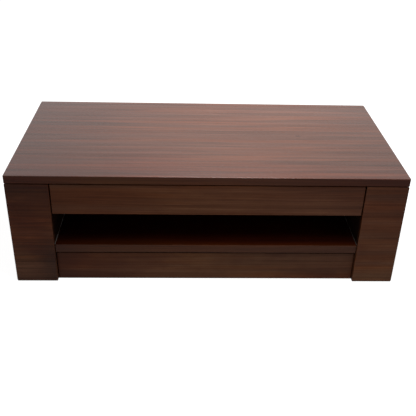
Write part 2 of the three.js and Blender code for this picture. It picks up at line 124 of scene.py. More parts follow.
class Recipe:
    """A material in the making: it adds nodes to the material's tree and wires them together."""

    def __init__(self, name: str) -> None:
        """Starts an empty material.

        Args:
            name: the material's name.
        """
        self.material = bpy.data.materials.new(name)
        self.material.use_nodes = True
        self.tree = self.material.node_tree
        self.tree.nodes.clear()

    def node(self, kind: str, wires: dict[int | str, object] | None = None,
             **settings: object) -> bpy.types.Node:
        """Adds one node.

        Args:
            kind: the node's type, without "ShaderNode".
            wires: what goes into each input, a socket or a constant.
            settings: the node's own properties.

        Returns:
            The new node.
        """
        made = self.tree.nodes.new("ShaderNode" + kind)
        for name, value in settings.items():
            setattr(made, name, value)
        for key, value in (wires or {}).items():
            if isinstance(value, Socket):
                self.tree.links.new(value, made.inputs[key])
            else:
                made.inputs[key].default_value = value
        return made

    def maths(self, operation: str, *terms: object) -> Socket:
        """The result of one sum on numbers."""
        return self.node("Math", dict(enumerate(terms)), operation=operation).outputs[0]

    def vector(self, operation: str, *terms: object) -> Socket:
        """The result of one sum on vectors that gives a vector."""
        return self.node("VectorMath", dict(enumerate(terms)), operation=operation).outputs[0]

    def measure(self, operation: str, *terms: object) -> Socket:
        """The result of one sum on vectors that gives a number."""
        return self.node("VectorMath", dict(enumerate(terms)), operation=operation).outputs["Value"]

    def parts(self, vector: Socket) -> Sequence[Socket]:
        """The X, Y and Z of a vector."""
        return self.node("SeparateXYZ", {0: vector}).outputs

    def joined(self, *parts: object) -> Socket:
        """The vector of an X, a Y and a Z."""
        return self.node("CombineXYZ", dict(enumerate(parts))).outputs[0]

    def mixed(self, share: object, first: object, second: object, how: str = "MIX") -> Socket:
        """Mixes a share of the second colour into the first, by the named blend."""
        wires = {0: share, 6: opaque(first), 7: opaque(second)}
        return self.node("Mix", wires, data_type="RGBA", blend_type=how).outputs[2]

    def tinted(self, colour: Socket, tone: object) -> Socket:
        """Multiplies a colour by a tone."""
        return self.mixed(1.0, colour, tone, "MULTIPLY")

    def ranged(self, value: Socket, start: float, end: float, low: float = 0.0, high: float = 1.0,
               smooth: bool = True) -> Socket:
        """Maps a number from one range to another, and holds it there.

        Args:
            value: the number.
            start: what maps to low.
            end: what maps to high.
            low: the result at start.
            high: the result at end.
            smooth: eases in and out, rather than straight.

        Returns:
            The result.
        """
        kind = "SMOOTHSTEP" if smooth else "LINEAR"
        wires = {0: value, 1: start, 2: end, 3: low, 4: high}
        return self.node("MapRange", wires, interpolation_type=kind).outputs[0]

    def place(self, offset: Point = (0.0, 0.0, 0.0), turn: Point = (0.0, 0.0, 0.0)) -> Socket:
        """The point on the piece, turned (in radians) and then moved (in metres) for its pattern."""
        point = self.node("TexCoord").outputs["Object"]
        return self.node("Mapping", {0: point, "Location": offset, "Rotation": turn}).outputs[0]

    def surface(self, colour: Socket, roughness: Socket, height: Socket, relief: float,
                **fixed: float) -> bpy.types.Material:
        """Ends the material in one shader with a relief.

        Args:
            colour: the base colour.
            roughness: the shader's roughness.
            height: the relief's height, 0 to 1.
            relief: how deep a height of 1 is, in metres.
            fixed: constant inputs of the shader, with _ for spaces.

        Returns:
            The finished material.
        """
        bump = self.node("Bump", {"Height": height, "Distance": relief}).outputs[0]
        wires = {"Base Color": colour, "Roughness": roughness, "Normal": bump}
        wires |= {name.replace("_", " "): value for name, value in fixed.items()}
        shader = self.node("BsdfPrincipled", wires)
        self.node("OutputMaterial", {"Surface": shader.outputs[0]})
        return self.material


def opaque(colour: object) -> object:
    """A colour with its alpha, or the socket that it already is."""
    return colour if isinstance(colour, Socket) else (*colour, 1.0)


@dataclass(frozen=True)
class Noise:
    """A random pattern, which may be drawn out along X."""

    along: float  # changes to a metre on X
    across: float  # changes to a metre on Y and Z
    detail: float = 2.0  # how many finer layers it has
    rough: float = 0.5  # how strong the finer layers are
    span: Pair | None = None  # the levels that are stretched to 0 and 1

    def at(self, mix: Recipe, place: Socket) -> Socket:
        """Reads the pattern.

        Args:
            mix: the material in the making.
            place: the point that it is read at.

        Returns:
            The pattern's level there, 0 to 1.
        """
        scaled = mix.vector("MULTIPLY", place, (self.along, self.across, self.across))
        wires = {"Vector": scaled, "Scale": 1.0, "Detail": self.detail, "Roughness": self.rough}
        level = mix.node("TexNoise", wires).outputs[0]
        return mix.ranged(level, *self.span) if self.span else level


@dataclass(frozen=True)
class Fade:
    """Painted light and shade on a board: one tone at a point, and another far from it."""

    centre: Point
    reach: Point  # how far it fades out on each axis
    middle: Colour
    far: Colour = PLAIN

    def over(self, mix: Recipe, place: Socket, colour: Socket) -> Socket:
        """Paints light and shade over a colour.

        Args:
            mix: the material in the making.
            place: the point on the piece.
            colour: its colour there.

        Returns:
            The faded colour.
        """
        away = mix.vector("DIVIDE", mix.vector("SUBTRACT", place, self.centre), self.reach)
        share = mix.ranged(mix.measure("LENGTH", away), 0.0, 1.0)
        return mix.tinted(colour, mix.mixed(share, self.middle, self.far))


@dataclass(frozen=True)
class Stain:
    """A tone for the faces of a board that look in one direction: a real stain on the top's front, and
    painted shade elsewhere.
    """

    direction: Point
    tone: Colour
    facing: Pair = (0.8, 0.95)  # how squarely a face looks that way to get none and all of it

    def over(self, mix: Recipe, colour: Socket) -> Socket:
        """Tones a colour by the way its face looks.

        Args:
            mix: the material in the making.
            colour: the colour.

        Returns:
            The toned colour.
        """
        normal = mix.node("TexCoord").outputs["Normal"]
        share = mix.ranged(mix.measure("DOT_PRODUCT", normal, self.direction), *self.facing)
        return mix.mixed(share, colour, mix.tinted(colour, self.tone))


@dataclass(frozen=True)
class Veneer:
    """Sliced walnut under a lacquer, with its grain, its vessels, the wear along its edges, which is
    lighter and also paints a highlight there, and painted light and shade.
    """

    name: str
    dark: Colour = (0.063, 0.0160, 0.0045)
    middle: Colour = (0.114, 0.0340, 0.0145)
    light: Colour = (0.176, 0.0600, 0.0300)
    tone: float = 1.0  # how light this board is cut, against the rest of the flitch
    warm: Colour = (1.05, 0.995, 0.87)
    cool: Colour = (0.95, 1.005, 1.15)
    warmth: Noise = Noise(1.1, 27.0, 3.0, span=(0.38, 0.62))
    drift: Noise = Noise(1.3, 3.2)
    wander: float = 0.018  # how far the grain drifts sideways
    end_facing: float = 0.7  # how squarely a face looks along the grain to count as an end
    broad: Noise = Noise(0.8, 17.0)
    bands: Noise = Noise(1.3, 75.0, 3.0, 0.6)
    streaks: Noise = Noise(3.0, 230.0, 3.0, 0.6)
    weights: Point = (0.30, 0.42, 0.28)  # of the broad clouds, the bands and the streaks
    spread: Pair = (0.36, 0.64)  # the sums that come out darkest and lightest
    rings: float = 26.0  # year rings to a metre
    ring_depth: float = 0.55
    ring_lean: float = 0.7  # how far they lean through the board
    ring_sway: Noise = Noise(0.45, 3.5, 1.0)
    ring_sway_by: float = 3.0  # in rings
    ring_waver: Noise = Noise(1.5, 16.0)
    ring_edge: float = 3.0  # how suddenly each one darkens
    ring_strength: Noise = Noise(0.9, 12.0, span=(0.42, 0.60))
    vessels: Noise = Noise(55.0, 1500.0, 1.0, span=(0.60, 0.72))
    vessel_shade: float = 0.55
    vessel_depth: float = 0.6  # as a share of the relief
    mottling: Noise = Noise(4.5, 11.0, 3.0, 0.55, (0.32, 0.68))
    clouds: float = 0.0  # how strong the mottling is
    cloud_pull: Point = (1.0, 1.35, 1.40)  # how much each part of the colour follows it
    # Tones by facing: a real stain, and painted shade on faces that look into shade.
    stains: tuple[Stain, ...] = ()
    fades: tuple[Fade, ...] = ()
    knot: Pair | None = None  # the place of a pin knot
    knot_squeeze: Point = (0.55, 1.0, 0.0)  # how much a step on each axis counts
    knot_radii: Pair = (2.0 * MM, 8.0 * MM)  # where it starts to fade and is gone
    knot_shade: float = 0.85
    # Lighter worn arrises, which also paint a highlight along the edges.
    worn: Colour = (0.30, 0.16, 0.09)
    wear: float = 0.30
    wear_reach: float = 1.6 * MM
    wear_patches: Noise = Noise(14.0, 14.0, 4.0, 0.6, (0.44, 0.66))
    rubbed_dull: float = 0.30  # how much rougher the arrises are
    relief: float = 0.03 * MM
    gloss: float = 0.30
    gloss_spread: float = 0.10
    specular: float = 0.5

    def on(self, board: str, grain: Grain) -> bpy.types.Material:
        """Mixes the veneer for one board.

        Args:
            board: the board's name.
            grain: the direction that its grain runs in.

        Returns:
            The board's material.
        """
        mix = Recipe(f"{self.name}_{board}")
        place, bent = mix.place(), self._bent(mix, board, grain)
        layers = [layer.at(mix, bent) for layer in (self.broad, self.bands, self.streaks)]
        vessels = self.vessels.at(mix, bent)
        late = mix.maths("MULTIPLY", self._late_wood(mix, bent), self.ring_depth)
        tone = mix.maths("SUBTRACT", self._tone(mix, layers), late)
        colour = self._figure(mix, tone, bent)
        colour = mix.mixed(mix.maths("MULTIPLY", vessels, self.vessel_shade), colour, self.dark)
        # Facing tones: real stains and painted shade.
        for stain in self.stains:
            colour = stain.over(mix, colour)
        # Painted light and shade.
        for light_and_shade in self.fades:
            colour = light_and_shade.over(mix, place, colour)
        if self.knot:
            colour = self._pin_knot(mix, place, colour)
        rubbed = self._rubbed(mix, place, *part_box(board))
        # Worn arrises in a lighter colour, partly a painted highlight along the edges.
        patches = mix.maths("MULTIPLY", self.wear_patches.at(mix, place), self.wear)
        colour = mix.mixed(mix.maths("MULTIPLY", rubbed, patches), colour, self.worn)
        gloss = mix.maths("MULTIPLY_ADD", tone, -self.gloss_spread, self.gloss + self.gloss_spread / 2)
        gloss = mix.maths("MULTIPLY_ADD", vessels, self.gloss_spread, gloss)
        gloss = mix.maths("MULTIPLY_ADD", rubbed, self.rubbed_dull, gloss)
        height = mix.maths("SUBTRACT", layers[2], mix.maths("MULTIPLY", vessels, self.vessel_depth))
        return mix.surface(colour, gloss, height, self.relief, Specular_IOR_Level=self.specular)

    def _bent(self, mix: Recipe, board: str, grain: Grain) -> Socket:
        """The point in the flitch that a point on the board was cut from, along its drifting grain.

        Args:
            mix: the material in the making.
            board: the board's name.
            grain: the direction that its grain runs in.

        Returns:
            The point, with the grain along X.
        """
        cut = CUTS.get(self.name, CUTS.get(board, CUTS["any"]))
        dice = random.Random(f"{self.name} {board} {cut}")
        offset = tuple(dice.uniform(-GRAIN_REACH, GRAIN_REACH) for _ in range(3))
        turn = (0.0, 0.0, math.radians(grain.value))
        flitch = self._edge_grain(mix, mix.place(offset, turn), turn)
        off = mix.maths("SUBTRACT", self.drift.at(mix, flitch), 0.5)
        sway = mix.maths("MULTIPLY", off, self.wander)
        return mix.vector("ADD", flitch, mix.joined(0.0, sway, sway))

    def _edge_grain(self, mix: Recipe, flitch: Socket, turn: Point) -> Socket:
        """Turns the grain along the band on a board's ends, where long grain would be cut across.

        Args:
            mix: the material in the making.
            flitch: the point in the flitch.
            turn: what turns the board's grain on to X.

        Returns:
            The point, with its X and Y changed round on the ends.
        """
        normal = mix.node("TexCoord").outputs["Normal"]
        normal = mix.node("Mapping", {"Vector": normal, "Rotation": turn}).outputs[0]
        along = mix.maths("ABSOLUTE", mix.parts(normal)[0])
        ends = mix.maths("GREATER_THAN", along, self.end_facing)
        parts = mix.parts(flitch)
        swapped = mix.joined(parts[1], parts[0], parts[2])
        return mix.node("Mix", {0: ends, 4: flitch, 5: swapped}, data_type="VECTOR").outputs[1]

    def _late_wood(self, mix: Recipe, bent: Socket) -> Socket:
        """The year rings: each darkens slowly and ends at a sharp line, and some are faint.

        Args:
            mix: the material in the making.
            bent: the point in the flitch.

        Returns:
            How dark the ring is there, 0 to 1.
        """
        parts = mix.parts(bent)
        across = mix.maths("MULTIPLY_ADD", parts[2], self.ring_lean, parts[1])
        sway = mix.maths("MULTIPLY", self.ring_sway.at(mix, bent), self.ring_sway_by)
        moved = mix.maths("ADD", sway, self.ring_waver.at(mix, bent))
        phase = mix.maths("FRACT", mix.maths("MULTIPLY_ADD", across, self.rings, moved))
        late = mix.maths("POWER", phase, self.ring_edge)
        return mix.maths("MULTIPLY", late, self.ring_strength.at(mix, bent))

    def _tone(self, mix: Recipe, layers: Sequence[Socket]) -> Socket:
        """Adds the layers of the figure by weight, and spreads the sum over 0 to 1.

        Args:
            mix: the material in the making.
            layers: the broad clouds, the bands and the streaks.

        Returns:
            The tone, dark to light.
        """
        total = 0.0
        for layer, weight in zip(layers, self.weights):
            total = mix.maths("MULTIPLY_ADD", layer, weight, total)
        return mix.ranged(total, *self.spread, smooth=False)

    def _figure(self, mix: Recipe, tone: Socket, bent: Socket) -> Socket:
        """Colours the tone, drifts it between red and grey brown, and mottles it.

        Args:
            mix: the material in the making.
            tone: dark to light, 0 to 1.
            bent: the point in the flitch.

        Returns:
            The wood's colour.
        """
        dark, middle, light = (tuple(self.tone * part for part in colour)
                               for colour in (self.dark, self.middle, self.light))
        lower = mix.mixed(mix.ranged(tone, 0.0, 0.5, smooth=False), dark, middle)
        colour = mix.mixed(mix.ranged(tone, 0.5, 1.0, smooth=False), lower, light)
        colour = mix.tinted(colour, mix.mixed(self.warmth.at(mix, bent), self.cool, self.warm))
        deep, pale = (tuple(1.0 + way * self.clouds * pull for pull in self.cloud_pull)
                      for way in (-1, 1))
        return mix.tinted(colour, mix.mixed(self.mottling.at(mix, bent), deep, pale))

    def _pin_knot(self, mix: Recipe, place: Socket, colour: Socket) -> Socket:
        """Darkens one small pin knot in the face.

        Args:
            mix: the material in the making.
            place: the point on the board.
            colour: its colour there.

        Returns:
            The colour with the knot.
        """
        away = mix.vector("SUBTRACT", place, (*self.knot, 0.0))
        distance = mix.measure("LENGTH", mix.vector("MULTIPLY", away, self.knot_squeeze))
        shade = mix.ranged(distance, *self.knot_radii, self.knot_shade, 0.0)
        return mix.mixed(shade, colour, self.dark)

    def _rubbed(self, mix: Recipe, place: Socket, low: Vector, high: Vector) -> Socket:
        """Finds where the board is rubbed: only along its arrises.

        Args:
            mix: the material in the making.
            place: the point on the board.
            low: the board's lowest corner.
            high: its highest corner.

        Returns:
            How rubbed the point is, 0 to 1.
        """
        off = mix.vector("ABSOLUTE", mix.vector("SUBTRACT", place, (low + high) / 2))
        depth = mix.parts(mix.vector("SUBTRACT", (high - low) / 2, off))
        inner = mix.maths("MINIMUM", mix.maths("MAXIMUM", depth[0], depth[1]), depth[2])
        arris = mix.maths("MAXIMUM", mix.maths("MINIMUM", depth[0], depth[1]), inner)
        return mix.ranged(arris, 0.0, self.wear_reach, 1.0, 0.0)


# The face of the top, with painted light and shade in its fades: a pool of light round its middle with
# shade towards its ends, a redder strip along its front, a lighter patch at its front left, and less
# green and blue at its left end.
TOP = Veneer(
    "top_veneer", weights=(0.17, 0.42, 0.41), spread=(0.38, 0.62), ring_depth=0.42, clouds=0.03,
    warm=(1.10, 0.99, 0.80), cool=(0.90, 1.01, 1.22), knot=(0.308, 0.007), wear=0.20, gloss=0.22,
    specular=0.415, stains=(Stain(FRONT, (0.60, 0.42, 0.36)),),
    fades=(Fade((0.12, 0.05, 0.36), (0.90, 0.70, 1.0), (1.46, 1.46, 1.46), (0.85, 0.75, 0.72)),
           Fade((0.0, -0.30, 0.36), (WIDE, 0.16, WIDE), (1.12, 1.0, 1.0)),
           Fade((-0.20, -0.19, 0.375), (0.26, 0.14, WIDE), (1.14, 1.05, 1.05)),
           Fade((-0.60, 0.0, 0.375), (0.55, WIDE, WIDE), (1.01, 0.92, 0.94))))
# The band round the edge of the top, with painted light and shade in its fades: lighter in its middle,
# darker and redder towards its ends, and a lighter patch at its front left.
BAND = Veneer(
    "edge_band", tone=0.57, weights=(0.30, 0.30, 0.40), wear=0.0, gloss=0.42, specular=0.11,
    fades=(Fade((0.03, 0.0, 0.0), (0.60, WIDE, WIDE), (1.11, 1.13, 1.06), (0.87, 0.65, 0.61)),
           Fade((-0.31, -0.30, 0.36), (0.26, 0.45, WIDE), (1.26, 1.60, 1.40))))
# The walls and the ceiling of the shelf bay, in a near-black veneer that paints the bay's shade.
BAY_SHADE_VENEER = Veneer(
    "bay_veneer", (0.006, 0.0026, 0.0018), (0.010, 0.0040, 0.0022), (0.016, 0.0060, 0.0030),
    wear=0.1, gloss=0.5, specular=0.04)
# The rest of the frame, with painted shade on its level faces, which are darker than the upright ones.
LEVEL_FACE_SHADE: tuple[Stain, ...] = tuple(Stain(way, (0.3, 0.3, 0.3)) for way in (UP, DOWN))
FRAME = Veneer(
    "frame_veneer", (0.062, 0.0190, 0.0072), (0.108, 0.0368, 0.0152), (0.166, 0.0620, 0.0275),
    warm=(1.09, 0.99, 0.84), cool=(0.91, 1.01, 1.18), weights=(0.32, 0.26, 0.42), spread=(0.37, 0.63),
    ring_depth=0.30, clouds=0.12, wear=0.12, gloss=0.42, specular=0.09, stains=LEVEL_FACE_SHADE)
# Painted shade that the fronts of both legs share: on their heads under the top, and on their inner
# ends, darker still deeper in the bay.
LEG_HEAD_SHADE = Fade((0.0, 0.0, 0.35), (WIDE, WIDE, 0.07), (0.71, 0.71, 0.70))
BAY_END_SHADE = Fade((0.0, -0.282, 0.195), (WIDE, 0.018, 0.075), (0.08, 0.06, 0.06))
BAY_SIDE_SHADE: Colour = (0.42, 0.40, 0.40)
# The boards that have a veneer of their own, each with its own painted light and shade.
OWN_VENEERS: dict[str, Veneer] = {
    "lift_top": TOP,
    # The shelf: painted shade on its top face in the bay, painted light along its front edge with shade
    # behind it, painted red light deeper in, painted shade towards its ends and in its left front
    # corner, and a lighter patch near its front, left of the middle.
    "shelf": replace(
        FRAME, name="shelf_veneer", tone=0.70, warm=Veneer.warm, cool=Veneer.cool, clouds=0.10,
        specular=0.12, stains=(Stain(UP, (0.74, 0.42, 0.12)),),
        fades=(Fade((0.0, -0.294, 0.12), (WIDE, 0.03, WIDE), (1.15, 1.10, 1.02), (0.37, 0.31, 0.33)),
               Fade((0.0, -0.294, 0.12), (WIDE, 0.10, WIDE), PLAIN, (1.60, 0.80, 0.80)),
               Fade((0.15, 0.0, 0.0), (0.62, WIDE, WIDE), (1.03, 1.03, 1.03), (0.72, 0.60, 0.51)),
               Fade((-0.48, -0.30, 0.12), (0.14, 0.02, WIDE), (0.62, 0.55, 0.57)),
               Fade((-0.30, -0.272, 0.135), (0.34, 0.028, WIDE), (1.40, 2.1, 1.3)))),
    # The apron: painted light in its middle and painted shade towards its ends.
    "front_apron": replace(
        FRAME,
        fades=(Fade((-0.05, 0.0, 0.0), (0.60, WIDE, WIDE), (1.14, 1.08, 0.95), (0.89, 0.83, 0.84)),)),
    # The plinth: painted light in its middle and along its foot, painted shade towards its ends and more
    # at its left end, and lighter patches left of its middle and at its right end.
    "front_plinth": replace(
        FRAME, tone=1.04, light=(0.166, 0.0680, 0.0310), weights=(0.42, 0.30, 0.28), ring_depth=0.18,
        clouds=0.26,
        fades=(Fade((0.06, 0.0, 0.0), (0.60, WIDE, WIDE), (1.20, 1.35, 1.38), (0.79, 0.67, 0.68)),
               Fade((0.0, 0.0, 0.0), (WIDE, WIDE, 0.08), (1.14, 1.08, 1.04)),
               Fade((-0.47, 0.0, 0.05), (0.10, WIDE, WIDE), (0.87, 0.90, 0.94)),
               Fade((-0.22, 0.0, 0.10), (0.24, WIDE, 0.10), (1.20, 1.32, 1.45)),
               Fade((0.47, 0.0, 0.05), (0.10, WIDE, WIDE), (1.22, 1.32, 1.34)))),
    # The left leg's front: painted shade on its level faces, its inner end and its head, lighter and
    # bluer towards its foot and redder up high, painted light at its outer foot, and painted shade at
    # its outer head and in its inner lower corner.
    "left_leg_front": replace(
        FRAME, tone=0.86, light=(0.175, 0.0580, 0.0240), spread=(0.40, 0.60), ring_depth=0.50,
        clouds=0.34, stains=(*LEVEL_FACE_SHADE, Stain((1.0, 0.0, 0.0), BAY_SIDE_SHADE)),
        fades=(Fade((0.0, 0.0, 0.0), (WIDE, WIDE, 0.32), (0.98, 1.00, 1.12), (1.03, 0.84, 0.70)),
               Fade((-0.60, 0.0, 0.10), (0.10, WIDE, 0.13), (1.30, 1.38, 1.36)),
               Fade((-0.60, 0.0, 0.35), (0.10, WIDE, 0.06), (0.85, 0.92, 0.90)),
               Fade((-0.472, 0.0, 0.08), (0.075, WIDE, 0.19), (0.52, 0.54, 0.58)),
               LEG_HEAD_SHADE, BAY_END_SHADE)),
    # The right leg's front: painted shade on its level faces, its inner end and its head, and painted
    # light towards its foot.
    "right_leg_front": replace(
        FRAME, clouds=0.16, stains=(*LEVEL_FACE_SHADE, Stain((-1.0, 0.0, 0.0), BAY_SIDE_SHADE)),
        fades=(Fade((0.0, 0.0, 0.0), (WIDE, WIDE, 0.32), (1.11, 1.13, 1.11), (0.90, 0.84, 0.86)),
               Fade((0.0, 0.0, 0.0), (WIDE, WIDE, 0.08), (1.08, 1.16, 1.12)),
               LEG_HEAD_SHADE, BAY_END_SHADE)),
}


@dataclass(frozen=True)
class PowderCoat:
    """Baked powder on pressed steel: a fine orange peel, dull, with faint scuffs."""

    colour: Colour = (0.0125, 0.0125, 0.0140)
    scuff: Colour = (0.060, 0.060, 0.062)
    scuffs: Noise = Noise(60.0, 420.0, 4.0, 0.65, (0.62, 0.74))
    scuffed: float = 0.45  # how much of the scuffs shows
    cloud: Noise = Noise(18.0, 18.0, 3.0)
    roughness: float = 0.36
    dulled: float = 0.16  # how much rougher it is where it is cloudy
    peel: Noise = Noise(900.0, 900.0)
    relief: float = 0.05 * MM

    def made(self, name: str) -> bpy.types.Material:
        """Mixes the coat.

        Args:
            name: the material's name.

        Returns:
            The material.
        """
        mix = Recipe(name)
        place = mix.place()
        scuffs = mix.maths("MULTIPLY", self.scuffs.at(mix, place), self.scuffed)
        colour = mix.mixed(scuffs, self.colour, self.scuff)
        rough = mix.maths("MULTIPLY_ADD", self.cloud.at(mix, place), self.dulled, self.roughness)
        return mix.surface(colour, rough, self.peel.at(mix, place), self.relief)


@dataclass(frozen=True)
class PlatedSteel:
    """Turned or drawn steel: bright zinc on the pins and screws, oiled and darker on the springs."""

    bright: Colour
    dull: Colour
    tool_marks: Noise
    stains: Noise = Noise(120.0, 120.0, 4.0, 0.6, (0.42, 0.70))
    roughness: float = 0.26
    dulled: float = 0.14  # how much rougher it is where it is stained
    relief: float = 0.012 * MM

    def made(self, name: str) -> bpy.types.Material:
        """Mixes the metal.

        Args:
            name: the material's name.

        Returns:
            The material.
        """
        mix = Recipe(name)
        place = mix.place()
        stain = self.stains.at(mix, place)
        colour = mix.mixed(stain, self.bright, self.dull)
        rough = mix.maths("MULTIPLY_ADD", stain, self.dulled, self.roughness)
        return mix.surface(colour, rough, self.tool_marks.at(mix, place), self.relief, Metallic=1.0)


@dataclass(frozen=True)
class Moulded:
    """Rubber, plastic or a soft filler: a spark-eroded texture with a faint bloom."""

    colour: Colour
    bloom: Colour
    roughness: float
    blooms: Noise = Noise(70.0, 70.0, 4.0, 0.6, (0.45, 0.70))
    bloomed: float = 0.5  # how much of the bloom shows where it is thickest
    dulled: float = 0.12  # how much rougher the bloom is
    texture: Noise = Noise(1400.0, 1400.0)
    relief: float = 0.03 * MM
    fades: tuple[Fade, ...] = ()

    def made(self, name: str) -> bpy.types.Material:
        """Mixes the moulding.

        Args:
            name: the material's name.

        Returns:
            The material.
        """
        mix = Recipe(name)
        place = mix.place()
        bloom = self.blooms.at(mix, place)
        colour = mix.mixed(mix.maths("MULTIPLY", bloom, self.bloomed), self.colour, self.bloom)
        # Painted light and shade.
        for light_and_shade in self.fades:
            colour = light_and_shade.over(mix, place, colour)
        rough = mix.maths("MULTIPLY_ADD", bloom, self.dulled, self.roughness)
        return mix.surface(colour, rough, self.texture.at(mix, place), self.relief)


ZINC = PlatedSteel((0.60, 0.61, 0.62), (0.36, 0.37, 0.38), Noise(900.0, 300.0, 3.0, 0.6))
DRAWN_WIRE = PlatedSteel((0.34, 0.35, 0.36), (0.14, 0.13, 0.12), Noise(500.0, 500.0, 3.0, 0.6),
                         roughness=0.30)
RUBBER = Moulded((0.018, 0.018, 0.018), (0.05, 0.05, 0.05), 0.62)
PLASTIC = Moulded((0.050, 0.028, 0.018), (0.085, 0.055, 0.040), 0.40)
# Painted light and shade on the fillers: darker at the shelf's front, and lighter deeper in the bay,
# which is in shade.
FILLER_PAINTED_LIGHT = (Fade((0.0, -0.294, 0.13), (WIDE, 0.14, WIDE), (0.40, 0.40, 0.40), (2.2, 2.3, 2.4)),)
PALE_FILLER = Moulded((0.42, 0.40, 0.37), (0.30, 0.28, 0.25), 0.6, fades=FILLER_PAINTED_LIGHT)
BROKEN_FILLER = Moulded((0.26, 0.25, 0.24), (0.01, 0.01, 0.01), 0.6, bloomed=0.95, fades=FILLER_PAINTED_LIGHT)


class Shape:
    """One piece's mesh in the making, shaped in its final place with bmesh operators."""

    def __init__(self) -> None:
        """Starts with nothing."""
        self.bm = bmesh.new()

    def stamp(self, source: bmesh.types.BMesh, place: Matrix) -> "Shape":
        """Adds a copy of another mesh.

        Args:
            source: the mesh to copy.
            place: where the copy goes.

        Returns:
            This shape.
        """
        mesh = bpy.data.meshes.new("stamp")
        source.to_mesh(mesh)
        before = len(self.bm.verts)
        self.bm.from_mesh(mesh)
        bpy.data.meshes.remove(mesh)
        self.bm.verts.ensure_lookup_table()
        bmesh.ops.transform(self.bm, matrix=place, verts=self.bm.verts[before:])
        return self

    def turned(self, profile: Sequence[Pair], place: Matrix, steps: int) -> "Shape":
        """Adds a solid that is turned about its Z.

        Args:
            profile: (radius, height) pairs from one pole to the other.
            place: where the solid goes.
            steps: how many steps a full turn has.

        Returns:
            This shape.
        """
        blank = bmesh.new()
        verts = [blank.verts.new((radius, 0.0, height)) for radius, height in profile]
        edges = [blank.edges.new(pair) for pair in zip(verts, verts[1:])]
        bmesh.ops.spin(blank, geom=verts + edges, cent=(0, 0, 0), axis=(0, 0, 1), dvec=(0, 0, 0),
                       angle=math.tau, steps=steps, use_merge=True, use_duplicate=False)
        bmesh.ops.remove_doubles(blank, verts=blank.verts, dist=TOUCHING)
        bmesh.ops.recalc_face_normals(blank, faces=blank.faces)
        self.stamp(blank, place)
        blank.free()
        return self

    def block(self, size: Point, place: Matrix) -> "Shape":
        """Adds a box with its centre at a place."""
        bmesh.ops.create_cube(self.bm, size=1.0, matrix=place @ Matrix.Diagonal((*size, 1.0)))
        return self

    def carved(self, cutter: "Shape") -> "Shape":
        """Takes another shape out of this one.

        Args:
            cutter: the shape to take out.

        Returns:
            This shape.
        """
        body, tool = self.linked("carved"), cutter.linked("cutter")
        cut = body.modifiers.new("cut", "BOOLEAN")
        cut.object, cut.operation, cut.solver = tool, "DIFFERENCE", "EXACT"
        self.bm.clear()
        self.take(body)
        bpy.data.objects.remove(tool)
        return self

    def take(self, source: bpy.types.Object) -> None:
        """Adds what an object looks like with its modifiers, and deletes the object.

        Args:
            source: the object.
        """
        graph = bpy.context.evaluated_depsgraph_get()
        mesh = bpy.data.meshes.new_from_object(source.evaluated_get(graph))
        self.bm.from_mesh(mesh)
        bpy.data.objects.remove(source)
        bpy.data.meshes.remove(mesh)

    def linked(self, name: str) -> bpy.types.Object:
        """Makes an object of the mesh as it is now.

        Args:
            name: the object's name.

        Returns:
            The object, in the scene.
        """
        mesh = bpy.data.meshes.new(name)
        self.bm.to_mesh(mesh)
        made = placed(name, mesh)
        bpy.context.view_layer.update()
        return made

    def piece(self, name: str, material: bpy.types.Material, body: Body, slot: Slot | None = None,
              crease: float = 35.0) -> bpy.types.Object:
        """Ends the shape as a piece of the table.

        Args:
            name: the piece's name.
            material: its finish.
            body: the body that it moves with.
            slot: the record's slot that its finish stands for; not used.
            crease: edges sharper than this many degrees stay sharp.

        Returns:
            The piece.
        """
        for face in self.bm.faces:
            face.smooth = True
        for edge in self.bm.edges:
            if len(edge.link_faces) == 2 and edge.calc_face_angle() > math.radians(crease):
                edge.smooth = False
        made = self.linked(name)
        self.bm.free()
        made.data.materials.append(material)
        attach(made, body.value)
        LOG.info("%s: %d faces on %s", name, len(made.data.polygons), body.value)
        return made


def placed(name: str, data: bpy.types.ID) -> bpy.types.Object:
    """Makes an object of a mesh, a curve, a lamp or a camera.

    Args:
        name: the object's name.
        data: what it shows.

    Returns:
        The object, in the scene.
    """
    made = bpy.data.objects.new(name, data)
    bpy.context.scene.collection.objects.link(made)
    return made


def along_x(place: Point, sign: int) -> Matrix:
    """Puts a turned shape's Z along X, pointing to the sign's side, at a place."""
    return Matrix.Translation(place) @ Matrix.Rotation(sign * math.pi / 2, 4, "Y")


def facing(place: Point, direction: Point) -> Matrix:
    """Puts a shape's Z along a direction, at a place."""
    return Matrix.Translation(place) @ Vector(direction).to_track_quat("Z", "Y").to_matrix().to_4x4()


def centre(node: str) -> Vector:
    """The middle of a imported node's box."""
    return sum(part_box(node), Vector()) / 2


def dress(node: bpy.types.Object, material: bpy.types.Material) -> None:
    """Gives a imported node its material, and reports it."""
    node.material_slots[0].material = material
    LOG.info("%s: dressed in %s", node.name, material.name)


@dataclass(frozen=True)
class Lamp:
    """A round soft box."""

    name: str
    place: Point
    aim: Point
    size: float
    power: float

    def build(self) -> None:
        """Hangs the lamp and points it."""
        data = bpy.data.lights.new(self.name, "AREA")
        data.shape, data.size, data.energy = "DISK", self.size, self.power
        turn = facing(self.place, Vector(self.place) - Vector(self.aim))
        placed(self.name, data).matrix_world = turn


